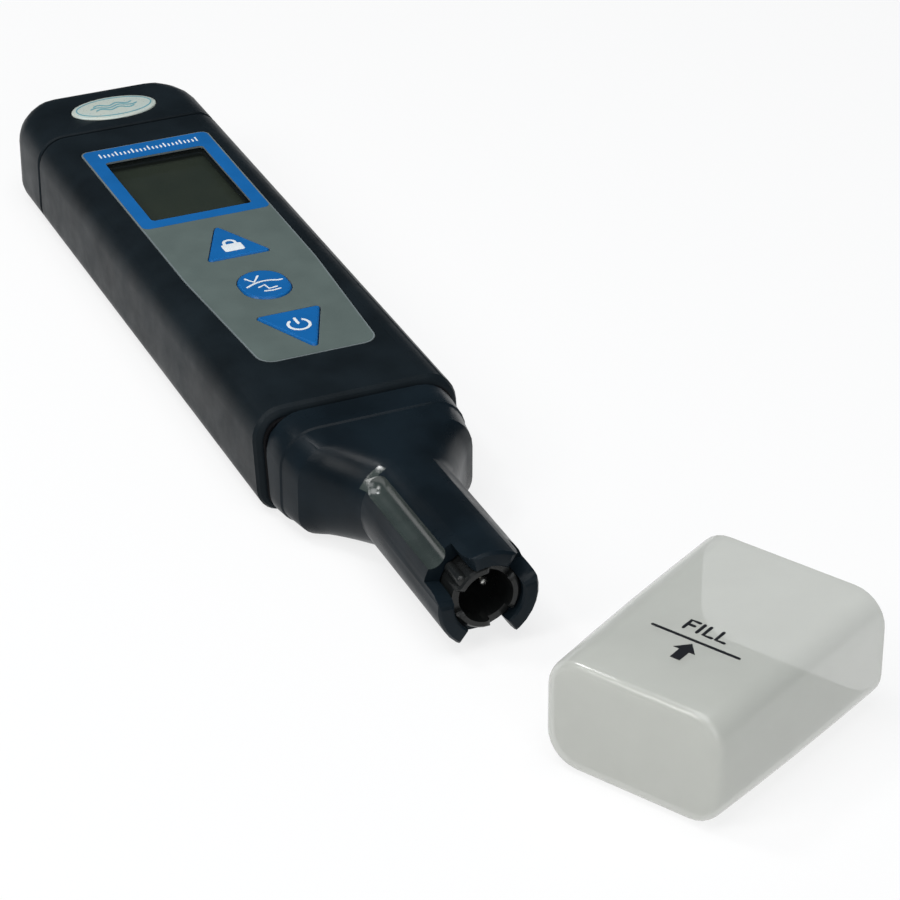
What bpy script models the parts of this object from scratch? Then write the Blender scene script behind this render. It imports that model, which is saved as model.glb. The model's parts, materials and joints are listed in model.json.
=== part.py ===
"""Pocket water tester pen, lying on its flat back, with its clear storage cap beside the probe.

Frame: the origin is the centre of the housing's flat back. +Y runs along the pen towards the battery
end, -Y towards the probe tip, +X across it and +Z out of the front label. Sizes below are millimetres;
`mesh_object` turns them into metres.
"""
import math

import bmesh
import bpy
from mathutils import Matrix, Vector

MM = 0.001

# Driving sizes of the body
BODY_WIDTH = 36.8
BODY_HEIGHT = 18.0
BODY_AXIS_Z = BODY_HEIGHT / 2
TOP_RADIUS = 5.4
BACK_RADIUS = 4.0
WALL = 1.6
EDGE = 0.3              # small chamfer on moulded edges
GAP = 0.3               # clearance between separate pieces
FILM_GAP = 0.1          # clearance under glued films and plates
CORNER_STEPS = 7

# Stations along the pen
HOUSING_FAR = 57.3
HOUSING_NEAR = -56.4
BATTERY_CAP_NEAR = 58.0
BATTERY_CAP_FAR = 76.0
BATTERY_CAP_CORNER = 7.4
SEAM_LEAN = 3.0         # how much nearer the probe the seam lies at the back than at the top
COLLAR_FAR = -57.9
RIDGE_Y = -64.1
SPIGOT_NEAR = -69.4
NECK_START = -79.2
PROBE_TIP = -110.8

# Sections inset from the body's outline
PLUG_INSET = WALL + GAP
SKIRT_WALL = 0.8
MODULE_WALL = 1.2

# Probe
COLLAR_SIZE = (34.2, 17.7)          # where it meets the housing's seal
COLLAR_RADIUS = 6.6
COLLAR_BACK_RADIUS = 4.4
RIDGE_SIZE = (33.4, 17.5)
SPIGOT_SIZE = (31.2, 16.9)
NECK_RADIUS = 8.6
BORE_RADIUS = 5.9
SLEEVE_RADIUS = BORE_RADIUS - GAP
SLEEVE_WALL = 1.2
PIN_RADIUS = 0.9

# Label, display and keys
RECESS_DEPTH = 0.4
LABEL_TOP_Z = BODY_HEIGHT
LABEL_FAR = 49.2
LABEL_NEAR = -41.4
WINDOW = (9.7, 16.7, 43.2)          # half width, near end, far end
KEY_PROUD = 0.3
KEY_HALF_WIDTH = 6.1
KEY_CORNER = 0.6
KEY_TRAVEL = 0.4
HOLD_KEY_Y = 2.2
CAL_KEY_Y = -14.7
POWER_KEY_Y = -33.1

# Badge
BADGE_Y = 66.3
BADGE_HALF_SIZE = (8.5, 4.8)

# Electronics
BOARD_BOTTOM = 8.6
BOARD_TOP = 9.6
BOARD_HALF_WIDTH = 15.0
BOARD_FAR = 49.0
BOARD_NEAR = -45.0
SWITCH_TOP = 12.5
CELL_RADIUS = 5.8
CELL_COUNT = 4
CELL_PITCH = 5.5
CELL_Y = 64.6
CELL_Z = 9.3

# Clear cap
CAP_LENGTH = 42.6
CAP_WALL = 0.8
CAP_END_WALL = 0.8
CAP_CLOSED_SIZE = (31.0, 19.2)
CAP_MOUTH_SIZE = (33.6, 19.6)
CAP_CORNER = 5.6
CAP_END_ROUNDING = 1.5
CAP_CLOSED_END = (2.4, -155.0)
CAP_TURN = math.radians(-61.1)


def clear_scene():
    """Remove every object, so that the script can run again."""
    for item in list(bpy.data.objects):
        bpy.data.objects.remove(item, do_unlink=True)


def material(name, color, roughness, metallic=0.0, alpha=1.0):
    """A Principled material with plain values."""
    made = bpy.data.materials.new(name)
    made.use_nodes = True
    shader = made.node_tree.nodes["Principled BSDF"]
    shader.inputs["Base Color"].default_value = (*color, 1.0)
    shader.inputs["Roughness"].default_value = roughness
    shader.inputs["Metallic"].default_value = metallic
    shader.inputs["Alpha"].default_value = alpha
    made.diffuse_color = (*color, alpha)
    return made


# ---------------------------------------------------------------- outlines

def shifted_corners(corners, grow):
    """Move each side of a counter-clockwise polygon outwards by `grow`, keeping its corners sharp."""
    shifted = []
    for index, (x, y, _) in enumerate(corners):
        before = Vector(corners[index - 1][:2])
        after = Vector(corners[(index + 1) % len(corners)][:2])
        here = Vector((x, y))
        side_in = (here - before).normalized()
        side_out = (after - here).normalized()
        normal_in = Vector((side_in.y, -side_in.x))
        normal_out = Vector((side_out.y, -side_out.x))
        mitre = (normal_in + normal_out) / (1.0 + normal_in.dot(normal_out))
        shifted.append((here + mitre * grow, normal_in, normal_out, mitre))
    return shifted


def rounded_outline(corners, grow=0.0, steps=CORNER_STEPS):
    """Points of a counter-clockwise polygon (x, y, radius) with arcs at its corners."""
    points = []
    shifted = shifted_corners(corners, grow)
    for (corner, normal_in, normal_out, mitre), (_, _, radius) in zip(shifted, corners):
        arc_radius = max(radius + grow, 0.02)
        centre = corner - mitre * arc_radius
        start = math.atan2(normal_in.y, normal_in.x)
        turn = (math.atan2(normal_out.y, normal_out.x) - start) % (2 * math.pi)
        for step in range(steps + 1):
            angle = start + turn * step / steps
            points.append((centre.x + arc_radius * math.cos(angle), centre.y + arc_radius * math.sin(angle)))
    return points


def rectangle(half_width, near, far, radius):
    """Corners of a rounded rectangle centred on x = 0."""
    return [(-half_width, near, radius), (half_width, near, radius),
            (half_width, far, radius), (-half_width, far, radius)]


def section(width, height, top_radius, back_radius, centre_z=BODY_AXIS_Z):
    """A cross-section of the pen in X and Z."""
    low = centre_z - height / 2
    high = centre_z + height / 2
    half = width / 2
    return rounded_outline([(-half, low, back_radius), (half, low, back_radius),
                            (half, high, top_radius), (-half, high, top_radius)])


def body_loop(y, inset=0.0):
    """The body's own cross-section at a station along the pen, moved inwards by `inset`."""
    outline = section(BODY_WIDTH - 2 * inset, BODY_HEIGHT - 2 * inset, TOP_RADIUS - inset, BACK_RADIUS - inset)
    return along_y(outline, y)


def grown(size, extra=0.0):
    """The collar's kind of cross-section, rounder than the body's, `extra` wider and higher than `size`."""
    return section(size[0] + extra, size[1] + extra, COLLAR_RADIUS + extra / 2, COLLAR_BACK_RADIUS + extra / 2)


def leaned(loop):
    """Lean a loop at the seam between housing and probe."""
    return [(x, y - SEAM_LEAN * (1 - z / BODY_HEIGHT), z) for x, y, z in loop]


def round_section(radius, centre=(0.0, BODY_AXIS_Z)):
    """A circle with as many points as the other cross-sections."""
    points = []
    count = 4 * (CORNER_STEPS + 1)
    for index in range(count):
        angle = 2 * math.pi * (index + 0.5) / count - math.pi
        points.append((centre[0] + radius * math.cos(angle), centre[1] + radius * math.sin(angle)))
    return points


def blended(first, second, share):
    """A cross-section part of the way from one to another."""
    return [(a[0] + (b[0] - a[0]) * share, a[1] + (b[1] - a[1]) * share) for a, b in zip(first, second)]


# ---------------------------------------------------------------- solids

def along_y(outline, y):
    """Place an X and Z outline at a station along the pen."""
    return [(x, y, z) for x, z in outline]


def along_z(outline, z):
    """Place an X and Y outline at a height."""
    return [(x, y, z) for x, y in outline]


def along_x(outline, x):
    """Place a Y and Z outline at a place across the pen."""
    return [(x, y, z) for y, z in outline]


def mesh_object(name, loops, look, ring=False, centre=(0.0, 0.0, 0.0)):
    """Join loops of equal length into one closed solid.

    With `ring` the last loop joins the first, as for a tube; otherwise the end loops are filled.
    `centre` becomes the object's origin.
    """
    mesh = bmesh.new()
    rows = []
    for loop in loops:
        row = [mesh.verts.new((Vector(point) - Vector(centre)) * MM) for point in loop]
        rows.append(row)
    pairs = list(zip(rows, rows[1:]))
    if ring:
        pairs.append((rows[-1], rows[0]))
    else:
        mesh.faces.new(rows[0])
        mesh.faces.new(rows[-1])
    for first, second in pairs:
        for index in range(len(first)):
            after = (index + 1) % len(first)
            mesh.faces.new((first[index], first[after], second[after], second[index]))
    bmesh.ops.recalc_face_normals(mesh, faces=mesh.faces)
    data = bpy.data.meshes.new(name)
    mesh.to_mesh(data)
    mesh.free()
    data.shade_smooth()
    data.set_sharp_from_angle(angle=math.radians(35))
    if look:
        data.materials.append(look)
    made = bpy.data.objects.new(name, data)
    made.location = Vector(centre) * MM
    bpy.context.scene.collection.objects.link(made)
    return made


def box(name, low, high, look, chamfer=0.0):
    """A box between two corners, with its upright edges rounded by `chamfer`."""
    corners = [(low[0], low[1], chamfer), (high[0], low[1], chamfer),
               (high[0], high[1], chamfer), (low[0], high[1], chamfer)]
    outline = rounded_outline(corners, steps=3) if chamfer else [corner[:2] for corner in corners]
    return mesh_object(name, [along_z(outline, low[2]), along_z(outline, high[2])], look)


def rod_y(name, radius, near, far, centre, look, dome=0.0, sides=24):
    """A round rod along the pen; `dome` rounds its near end."""
    def circle(r, y):
        angles = [2 * math.pi * index / sides for index in range(sides)]
        return [(centre[0] + r * math.cos(a), y, centre[1] + r * math.sin(a)) for a in angles]

    loops = [circle(radius, far)]
    if dome:
        for step in range(4):
            angle = math.radians(80) * step / 3
            shrink = radius - dome + dome * math.cos(angle)
            loops.append(circle(shrink, near + dome - dome * math.sin(angle)))
    else:
        loops.append(circle(radius, near))
    return mesh_object(name, loops, look)


def cut(target, cutter):
    """Take the cutter's shape out of the target."""
    use_boolean(target, cutter, "DIFFERENCE")


def join(target, other):
    """Add the other shape to the target, as one solid."""
    use_boolean(target, other, "UNION")


def use_boolean(target, other, operation):
    """Combine two solids and keep the second one as a hidden guide."""
    other.hide_render = True
    other.display_type = "WIRE"
    modifier = target.modifiers.new(other.name, "BOOLEAN")
    modifier.operation = operation
    modifier.solver = "EXACT"
    modifier.object = other


# ---------------------------------------------------------------- outlines of label, window and keys

def label_corners():
    """The front label: straight beside the display, drawn in towards the probe end."""
    return [(-10.7, LABEL_NEAR, 3.0), (10.7, LABEL_NEAR, 3.0), (12.5, -8.0, 30.0), (12.8, LABEL_FAR, 1.6),
            (-12.8, LABEL_FAR, 1.6), (-12.5, -8.0, 30.0)]


def window_corners():
    """The display opening in the label."""
    half_width, near, far = WINDOW
    return rectangle(half_width, near, far, 0.8)


def hold_key_corners():
    """A triangle that points to the display."""
    near = HOLD_KEY_Y - 4.9
    return [(-KEY_HALF_WIDTH, near, KEY_CORNER), (KEY_HALF_WIDTH, near, KEY_CORNER),
            (0.0, HOLD_KEY_Y + 8.0, KEY_CORNER)]


def power_key_corners():
    """A triangle that points to the probe."""
    far = POWER_KEY_Y + 7.4
    return [(-KEY_HALF_WIDTH, far, KEY_CORNER), (0.0, POWER_KEY_Y - 6.6, KEY_CORNER),
            (KEY_HALF_WIDTH, far, KEY_CORNER)]


def cal_key_corners():
    """A round key, a little longer than wide."""
    return rectangle(4.5, CAL_KEY_Y - 5.4, CAL_KEY_Y + 5.4, 4.49)


def key_layout():
    """Each key's name, outline and place."""
    return [("hold_key", hold_key_corners(), HOLD_KEY_Y),
            ("cal_key", cal_key_corners(), CAL_KEY_Y),
            ("power_key", power_key_corners(), POWER_KEY_Y)]


# ---------------------------------------------------------------- housing and front

def prism(name, corners, low, high, look, grow=0.0):
    """A straight solid over an outline in X and Y."""
    outline = rounded_outline(corners, grow)
    return mesh_object(name, [along_z(outline, low), along_z(outline, high)], look)


def make_housing(look):
    """One-piece sleeve, open at both ends, with the board's rails inside."""
    loops = [leaned(body_loop(HOUSING_NEAR, 1.0)),
             leaned(body_loop(HOUSING_NEAR + 0.3, 0.4)),
             leaned(body_loop(HOUSING_NEAR + 1.0)),
             body_loop(HOUSING_FAR - EDGE),
             body_loop(HOUSING_FAR, EDGE),
             body_loop(HOUSING_FAR, WALL),
             leaned(body_loop(HOUSING_NEAR, WALL))]
    housing = mesh_object("housing", loops, look, ring=True)
    add_board_rails(housing)
    recess_low = BODY_HEIGHT - RECESS_DEPTH
    cut(housing, prism("label_recess", label_corners(), recess_low, BODY_HEIGHT + 1, None, grow=0.15))
    ledge_low = BODY_HEIGHT - WALL + GAP
    cut(housing, prism("lens_ledge", window_corners(), ledge_low, BODY_HEIGHT, None, grow=1.4))
    cut(housing, prism("window_cut", window_corners(), BODY_HEIGHT - 2 * WALL, BODY_HEIGHT, None))
    for name, corners, _ in key_layout():
        cut(housing, prism(name + "_cut", corners, BODY_HEIGHT - 2 * WALL, BODY_HEIGHT, None, grow=GAP))
    return housing


def add_board_rails(housing):
    """Two pairs of rails that hold the board's long edges."""
    inner = BODY_WIDTH / 2 - WALL
    for side in (-1, 1):
        for level, low in (("lower", BOARD_BOTTOM - GAP - 1.0), ("upper", BOARD_TOP + GAP)):
            edges = sorted((side * (inner - 2.2), side * (inner + 0.4)))
            name = f"rail_{level}_{'left' if side < 0 else 'right'}"
            rail = box(name, (edges[0], BOARD_NEAR + 2, low), (edges[1], BOARD_FAR - 2, low + 1.0), None)
            join(housing, rail)


def make_label(look):
    """The printed film in the front recess, open over the display and round the keys."""
    low = BODY_HEIGHT - RECESS_DEPTH + FILM_GAP
    label = prism("front_label", label_corners(), low, LABEL_TOP_Z, look)
    cut(label, prism("label_window_cut", window_corners(), low - 1, LABEL_TOP_Z + 1, None))
    for name, corners, _ in key_layout():
        cut(label, prism(name + "_label_cut", corners, low - 1, LABEL_TOP_Z + 1, None, grow=GAP / 2))
    return label


def make_lens(look):
    """The display's clear window, on its ledge under the label."""
    low = BODY_HEIGHT - WALL + GAP + FILM_GAP
    high = BODY_HEIGHT - RECESS_DEPTH - FILM_GAP
    return prism("display_lens", window_corners(), low, high, look, grow=1.2)


def make_display(glass_look, holder_look, strip_look):
    """Display glass in its holder, on two conductive rubber strips."""
    near, far = 14.9, 45.0
    prism("display_glass", rectangle(11.4, near, far, 0.3), 14.0, 15.8, glass_look)
    outer = rectangle(12.9, near - 1.6, far + 1.6, 1.0)
    holder = prism("display_holder", outer, BOARD_TOP + GAP, 16.0, holder_look)
    cut(holder, prism("holder_cut", rectangle(11.7, near - GAP, far + GAP, 0.4), BOARD_TOP, 17.0, None))
    for name, middle in (("rubber_strip_near", near + 2.0), ("rubber_strip_far", far - 2.0)):
        box(name, (-11.0, middle - 0.8, BOARD_TOP + FILM_GAP), (11.0, middle + 0.8, 14.0 - FILM_GAP), strip_look)


def make_key(name, corners, middle, look):
    """A key: domed top, flange under the front wall, and a stem over its switch."""
    top = LABEL_TOP_Z + KEY_PROUD
    flange_top = BODY_HEIGHT - WALL - GAP
    flange_low = flange_top - 0.8
    stem_low = SWITCH_TOP + KEY_TRAVEL + 0.1
    count = len(rounded_outline(corners))
    stem = [(1.5 * math.cos(2 * math.pi * i / count), middle + 1.5 * math.sin(2 * math.pi * i / count))
            for i in range(count)]
    stem = aligned(stem, rounded_outline(corners), middle)
    loops = [along_z(stem, stem_low),
             along_z(stem, flange_low),
             along_z(rounded_outline(corners, 0.9), flange_low),
             along_z(rounded_outline(corners, 0.9), flange_top),
             along_z(rounded_outline(corners), flange_top),
             along_z(rounded_outline(corners), top - 0.35),
             along_z(rounded_outline(corners, -0.15), top - 0.1),
             along_z(rounded_outline(corners, -0.45), top)]
    return mesh_object(name, loops, look, centre=(0.0, middle, flange_low))


def aligned(circle, outline, middle):
    """Turn a circle's list of points so that each faces the matching point of an outline."""
    count = len(circle)
    first = math.atan2(outline[0][1] - middle, outline[0][0])
    shift = round(first / (2 * math.pi) * count)
    return [circle[(index + shift) % count] for index in range(count)]


# ---------------------------------------------------------------- battery end

def far_end_section(y, inset):
    """The battery cap's cross-section near its rounded far end."""
    corner = BATTERY_CAP_CORNER - inset
    far = BATTERY_CAP_FAR - inset
    plan = max(0.0, y - (far - corner))
    half_width = BODY_WIDTH / 2 - inset - corner + math.sqrt(max(corner ** 2 - plan ** 2, 0.0))
    lip = 1.8
    rise = max(0.0, y - (far - lip))
    drop = lip - math.sqrt(max(lip ** 2 - rise ** 2, 0.0))
    height = BODY_HEIGHT - 2 * inset - 2 * drop
    return section(2 * half_width, height, TOP_RADIUS - inset - drop / 2, BACK_RADIUS - inset - drop / 2)


def far_end_loops(inset):
    """Loops from the straight part of the battery cap round its far end."""
    corner = BATTERY_CAP_CORNER - inset
    start = BATTERY_CAP_FAR - inset - corner
    angles = [math.radians(a) for a in (0, 15, 30, 42, 52, 62, 71, 79, 85, 89)]
    stations = [start + corner * math.sin(angle) for angle in angles]
    return [along_y(far_end_section(y, inset), y) for y in stations]


def make_battery_cap(look):
    """End cap: rounded shell with a skirt that plugs into the housing, and a recess for the badge."""
    skirt_near = 50.5
    inner = far_end_loops(WALL)
    inner.reverse()
    loops = inner + [body_loop(BATTERY_CAP_NEAR + 1.4, WALL),
                     body_loop(BATTERY_CAP_NEAR + 0.8, PLUG_INSET + SKIRT_WALL),
                     body_loop(skirt_near, PLUG_INSET + SKIRT_WALL),
                     body_loop(skirt_near, PLUG_INSET),
                     body_loop(BATTERY_CAP_NEAR, PLUG_INSET),
                     body_loop(BATTERY_CAP_NEAR, EDGE),
                     body_loop(BATTERY_CAP_NEAR + EDGE)]
    loops += far_end_loops(0.0)
    battery_cap = mesh_object("battery_cap", loops, look)
    recess = [along_z(badge_outline(0.2), BODY_HEIGHT - 0.5), along_z(badge_outline(0.2), BODY_HEIGHT + 1)]
    cut(battery_cap, mesh_object("badge_recess", recess, None))
    return battery_cap


def badge_outline(grow=0.0, sides=40):
    """An oval across the battery cap."""
    half_width, half_length = BADGE_HALF_SIZE
    angles = [2 * math.pi * side / sides for side in range(sides)]
    return [((half_width + grow) * math.cos(a), BADGE_Y + (half_length + grow) * math.sin(a)) for a in angles]


def make_badge(look):
    """Oval plate with a low domed face."""
    low = BODY_HEIGHT - 0.5 + FILM_GAP
    loops = [along_z(badge_outline(), low),
             along_z(badge_outline(), BODY_HEIGHT),
             along_z(badge_outline(-0.2), BODY_HEIGHT + 0.15),
             along_z(badge_outline(-1.0), BODY_HEIGHT + 0.25),
             along_z(badge_outline(-2.6), BODY_HEIGHT + 0.3)]
    return mesh_object("badge", loops, look)


def seal_ring(name, near, far, outer_inset, inner_inset, look, lean=False):
    """A rubber ring that follows the body's cross-section."""
    loops = [body_loop(near, outer_inset + 0.1),
             body_loop((near + far) / 2, outer_inset),
             body_loop(far, outer_inset + 0.1),
             body_loop(far, inner_inset),
             body_loop(near, inner_inset)]
    if lean:
        loops = [leaned(loop) for loop in loops]
    return mesh_object(name, loops, look, ring=True)


def make_battery_tray(look):
    """Open frame with a floor that carries the cells side by side."""
    stack = CELL_COUNT * CELL_PITCH / 2
    low, high = 2.9, 15.0
    near, far = CELL_Y - 7.2, CELL_Y + 6.9
    tray = box("battery_tray", (-stack - 2.2, near, low), (stack + 2.2, far, high), look, chamfer=0.8)
    pocket = box("tray_pocket", (-stack - 0.7, CELL_Y - 6.1, CELL_Z - CELL_RADIUS - 0.2),
                 (stack + 0.7, CELL_Y + 6.1, high + 1), None)
    cut(tray, pocket)
    for side in (-1, 1):
        edges = sorted((side * (stack - 0.2), side * (stack + 0.7)))
        slot = box(f"tray_slot_{'left' if side < 0 else 'right'}", (edges[0], near - 1, 6.4),
                   (edges[1], CELL_Y - 6.0, 12.2), None)
        cut(tray, slot)
    return tray


def make_cells(look):
    """Button cells in a row across the pen, each with its raised smaller pole."""
    sides = 32
    for index in range(CELL_COUNT):
        left = (index - CELL_COUNT / 2) * CELL_PITCH + 0.05
        stations = ((0.0, 4.4), (0.5, 4.7), (0.6, 5.4), (1.0, CELL_RADIUS), (5.0, CELL_RADIUS), (5.4, 5.4))
        loops = []
        for depth, radius in stations:
            angles = [2 * math.pi * side / sides for side in range(sides)]
            circle = [(CELL_Y + radius * math.cos(a), CELL_Z + radius * math.sin(a)) for a in angles]
            loops.append(along_x(circle, left + depth))
        mesh_object(f"button_cell_{index + 1}", loops, look)


def make_tray_contacts(look):
    """A flat strip at each end of the row of cells, reaching out towards the board."""
    stack = CELL_COUNT * CELL_PITCH / 2
    for side, name in ((-1, "tray_contact_minus"), (1, "tray_contact_plus")):
        edges = sorted((side * (stack + 0.1), side * (stack + 0.4)))
        box(name, (edges[0], 50.8, 7.2), (edges[1], CELL_Y + 5.0, 11.4), look)


# ---------------------------------------------------------------- electronics

def strip_outline(path, thickness):
    """Both sides of a thin bent strip, from its middle line."""
    left = []
    right = []
    for index, point in enumerate(path):
        before = Vector(path[max(index - 1, 0)])
        after = Vector(path[min(index + 1, len(path) - 1)])
        along = (after - before).normalized()
        across = Vector((-along.y, along.x)) * thickness / 2
        left.append(tuple(Vector(point) + across))
        right.append(tuple(Vector(point) - across))
    return left + right[::-1]


def make_board_springs(look):
    """Bent leaf springs at the board's far end, one for each tray contact."""
    stack = CELL_COUNT * CELL_PITCH / 2
    foot_z = BOARD_TOP + GAP
    path = [(BOARD_FAR - 1.9, foot_z), (BOARD_FAR + 0.5, foot_z), (BOARD_FAR + 1.1, foot_z - 0.3),
            (BOARD_FAR + 1.35, foot_z - 0.9), (BOARD_FAR + 1.35, 7.4), (BOARD_FAR + 0.9, 6.8)]
    outline = strip_outline(path, 0.25)
    for side, name in ((-1, "board_spring_minus"), (1, "board_spring_plus")):
        middle = side * (stack + 0.25)
        mesh_object(name, [along_x(outline, middle - 1.2), along_x(outline, middle + 1.2)], look)


def make_board(look):
    """The circuit board between its rails."""
    return prism("circuit_board", rectangle(BOARD_HALF_WIDTH, BOARD_NEAR, BOARD_FAR, 0.8),
                 BOARD_BOTTOM, BOARD_TOP, look)


def make_chip(look):
    """The processor, a flat square package under the board."""
    corners = rectangle(5.0, -6.0, 4.0, 0.3)
    loops = [along_z(rounded_outline(corners, -0.2), BOARD_BOTTOM - FILM_GAP - 1.4),
             along_z(rounded_outline(corners), BOARD_BOTTOM - FILM_GAP - 0.7),
             along_z(rounded_outline(corners, -0.2), BOARD_BOTTOM - FILM_GAP)]
    return mesh_object("processor_chip", loops, look)


def make_switch(name, middle, look):
    """A push switch: square case with a round plunger."""
    case = rectangle(3.0, middle - 3.0, middle + 3.0, 0.5)
    count = len(rounded_outline(case))
    plunger = [(1.6 * math.cos(2 * math.pi * i / count), middle + 1.6 * math.sin(2 * math.pi * i / count))
               for i in range(count)]
    plunger = aligned(plunger, rounded_outline(case), middle)
    loops = [along_z(rounded_outline(case), BOARD_TOP + FILM_GAP),
             along_z(rounded_outline(case), SWITCH_TOP - 0.9),
             along_z(plunger, SWITCH_TOP - 0.9),
             along_z(plunger, SWITCH_TOP)]
    return mesh_object(name, loops, look)


def pin_places():
    """Across positions of the probe connector's pins."""
    return [(index - 2) * 2.54 for index in range(5)]


def make_socket(look):
    """The probe connector on the board, with a hole for each pin."""
    socket = box("probe_socket", (-7.6, BOARD_NEAR + 0.5, BOARD_TOP + FILM_GAP),
                 (7.6, BOARD_NEAR + 6.0, 13.4), look, chamfer=0.4)
    for index, x in enumerate(pin_places()):
        cut(socket, rod_y(f"socket_hole_{index + 1}", 0.75, BOARD_NEAR - 1, BOARD_NEAR + 5.0,
                          (x, 11.6), None, sides=16))
    return socket


def make_plug(look):
    """The probe module's plug block with its row of pins."""
    plug = box("probe_plug", (-9.0, -57.0, 8.4), (9.0, -48.4, 14.0), look, chamfer=0.6)
    for index, x in enumerate(pin_places()):
        join(plug, rod_y(f"plug_pin_{index + 1}", 0.4, -49.0, BOARD_NEAR + 4.2, (x, 11.6), None, sides=12))
    return plug


# ---------------------------------------------------------------- probe module

def make_probe_module(look):
    """Collar, spigot for the clear cap, tapered shoulder, and neck with its guard prongs."""
    spigot = grown(SPIGOT_SIZE)
    neck = round_section(NECK_RADIUS)
    plug_inner = PLUG_INSET + MODULE_WALL
    plug_far = HOUSING_NEAR + 8.6
    bore = round_section(BORE_RADIUS)
    outer = [body_loop(plug_far, PLUG_INSET),
             leaned(body_loop(COLLAR_FAR, PLUG_INSET)),
             leaned(along_y(grown(COLLAR_SIZE, -2 * EDGE), COLLAR_FAR)),
             leaned(along_y(grown(COLLAR_SIZE), COLLAR_FAR - EDGE)),
             along_y(grown(RIDGE_SIZE), RIDGE_Y),
             along_y(grown(RIDGE_SIZE, -2 * EDGE), RIDGE_Y - EDGE),
             along_y(spigot, SPIGOT_NEAR)]
    for step in range(1, 9):
        share = step / 8
        eased = share ** 0.75
        outer.append(along_y(blended(spigot, neck, eased), SPIGOT_NEAR + (NECK_START - SPIGOT_NEAR) * share))
    outer += [along_y(neck, PROBE_TIP + 0.5), along_y(round_section(NECK_RADIUS - 0.4), PROBE_TIP)]
    inner = [along_y(round_section(BORE_RADIUS + 0.3), PROBE_TIP),
             along_y(bore, PROBE_TIP + 0.4),
             along_y(bore, NECK_START + 1.0),
             body_loop(SPIGOT_NEAR + 4.5, plug_inner),
             body_loop(plug_far, plug_inner)]
    module = mesh_object("probe_module", outer + inner, look, ring=True)
    add_collar_rib(module)
    cut_flute(module)
    cut_guard_slots(module)
    return module


def add_collar_rib(module):
    """A short round rib on the collar's upper left corner that marks which way round it plugs in."""
    reach = (COLLAR_RADIUS - 0.8) * math.sin(math.radians(45))
    centre = (-COLLAR_SIZE[0] / 2 + COLLAR_RADIUS - reach,
              BODY_AXIS_Z + COLLAR_SIZE[1] / 2 - COLLAR_RADIUS + reach)
    join(module, rod_y("collar_rib", 1.2, RIDGE_Y + 0.9, COLLAR_FAR - 0.5, centre, None, dome=0.4))


def cut_flute(module):
    """A round-started channel along the neck's upper left, leading into the first slot."""
    away = NECK_RADIUS + 0.8
    angle = math.radians(139)
    centre = (away * math.cos(angle), BODY_AXIS_Z + away * math.sin(angle))
    radius = 2.35
    start = NECK_START - 1.9
    cut(module, rod_y("flute_cut", radius, -105.0, start, centre, None))
    cut(module, ball("flute_start_cut", radius, (centre[0], start, centre[1])))


def ball(name, radius, centre, rings=10, sides=24):
    """A ball made of rings along the pen."""
    loops = []
    for ring in range(1, rings):
        angle = math.pi * ring / rings
        circle = [(centre[0] + radius * math.sin(angle) * math.cos(2 * math.pi * s / sides),
                   centre[1] + radius * math.cos(angle),
                   centre[2] + radius * math.sin(angle) * math.sin(2 * math.pi * s / sides))
                  for s in range(sides)]
        loops.append(circle)
    return mesh_object(name, loops, None)


def slot_cutter(name, start, stop, root, tip, flare, reach, inner):
    """A radial cutter between two angles, in degrees, from `root` out past `tip`, where it flares."""
    flare_length = 0.6 * (root - tip)
    steps = 4
    arc = [math.radians(90 * step / steps) for step in range(steps + 1)]
    outline = [(start, root), (stop, root)]
    outline += [(stop + flare * (1 - math.cos(a)), tip + flare_length * (1 - math.sin(a))) for a in arc]
    outline += [(stop + flare, tip - 2.0), (start - flare, tip - 2.0)]
    outline += [(start - flare * (1 - math.cos(a)), tip + flare_length * (1 - math.sin(a))) for a in arc[::-1]]
    loops = []
    for radius in (inner, reach):
        turns = [(math.radians(angle), y) for angle, y in outline]
        loops.append([(radius * math.cos(a), y, BODY_AXIS_Z + radius * math.sin(a)) for a, y in turns])
    return mesh_object(name, loops, None)


def cut_guard_slots(module):
    """Three slots that leave an upper tongue, a left prong and a right prong round the sensor."""
    slots = (("left_slot_cut", 116, 168, -104.4, 12),
             ("right_slot_cut", 20, 50, -105.0, 12),
             ("lower_slot_cut", -124, -58, -105.2, 4))
    for name, start, stop, root, flare in slots:
        cut(module, slot_cutter(name, start, stop, root, PROBE_TIP, flare, NECK_RADIUS + 4, BORE_RADIUS - 2))


def make_sensor_sleeve(look):
    """The sleeve inside the prongs, with notches in its rim and a rib that shows in the left slot."""
    near, far = PROBE_TIP + 0.8, -74.0
    inner_radius = SLEEVE_RADIUS - SLEEVE_WALL
    loops = [along_y(round_section(SLEEVE_RADIUS), far),
             along_y(round_section(SLEEVE_RADIUS), near + 0.4),
             along_y(round_section(SLEEVE_RADIUS - 0.4), near),
             along_y(round_section(inner_radius), near),
             along_y(round_section(inner_radius), far)]
    sleeve = mesh_object("sensor_sleeve", loops, look, ring=True)
    angle = math.radians(138)
    away = SLEEVE_RADIUS - 0.1
    rib_centre = (away * math.cos(angle), BODY_AXIS_Z + away * math.sin(angle))
    join(sleeve, rod_y("sleeve_rib", 1.0, near + 0.3, -104.8, rib_centre, None, dome=0.5, sides=16))
    for index in range(3):
        middle = 120 * index + 60
        cut(sleeve, slot_cutter(f"sleeve_notch_{index + 1}", middle - 22, middle + 22, near + 1.3, near, 14,
                                SLEEVE_RADIUS + 1, inner_radius - 1.2))
    return sleeve


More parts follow.
